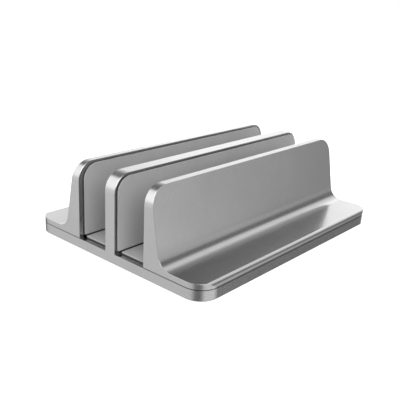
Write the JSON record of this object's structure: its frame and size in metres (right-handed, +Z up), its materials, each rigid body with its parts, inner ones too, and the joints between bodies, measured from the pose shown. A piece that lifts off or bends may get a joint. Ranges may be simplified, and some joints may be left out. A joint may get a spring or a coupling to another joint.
{
  "type": "vertical laptop stand",
  "caption": "Low aluminium desk stand that holds closed laptops upright in padded slots between a fixed centre wall and sliding side brackets.",
  "frame": {"origin": "middle of the stand, on the surface that its feet rest on", "axes": "+X across the slots to the right, +Y along the slots away from the viewer, +Z up"},
  "size_m": [0.142, 0.18, 0.0552],
  "materials": {
    "aluminium": "fine bead-blasted, clear anodised",
    "silicone": "matte grey silicone",
    "screw_steel": "zinc plated",
    "foot_rubber": "matte black rubber"
  },
  "bodies": {
    "base": {"base_with_centre_wall": "aluminium", "centre_wall_left_pad": "silicone", "centre_wall_right_pad": "silicone", "left_floor_pad": "silicone", "right_floor_pad": "silicone", "front_left_foot": "foot_rubber", "front_right_foot": "foot_rubber", "rear_left_foot": "foot_rubber", "rear_right_foot": "foot_rubber"},
    "left_bracket_body": {"left_bracket": "aluminium", "left_bracket_pad": "silicone", "left_front_clamp_screw": "screw_steel", "left_rear_clamp_screw": "screw_steel", "left_front_washer": "screw_steel", "left_rear_washer": "screw_steel"},
    "right_bracket_body": {"right_bracket": "aluminium", "right_bracket_pad": "silicone", "right_front_clamp_screw": "screw_steel", "right_rear_clamp_screw": "screw_steel", "right_front_washer": "screw_steel", "right_rear_washer": "screw_steel"}
  },
  "joints": [
    {"name": "left_bracket_slide", "type": "slide", "parent": "base", "child": "left_bracket_body", "axis": [1, 0, 0], "range_m": [0, 0.008]},
    {"name": "right_bracket_slide", "type": "slide", "parent": "base", "child": "right_bracket_body", "axis": [-1, 0, 0], "range_m": [0, 0.008]}
  ]
}
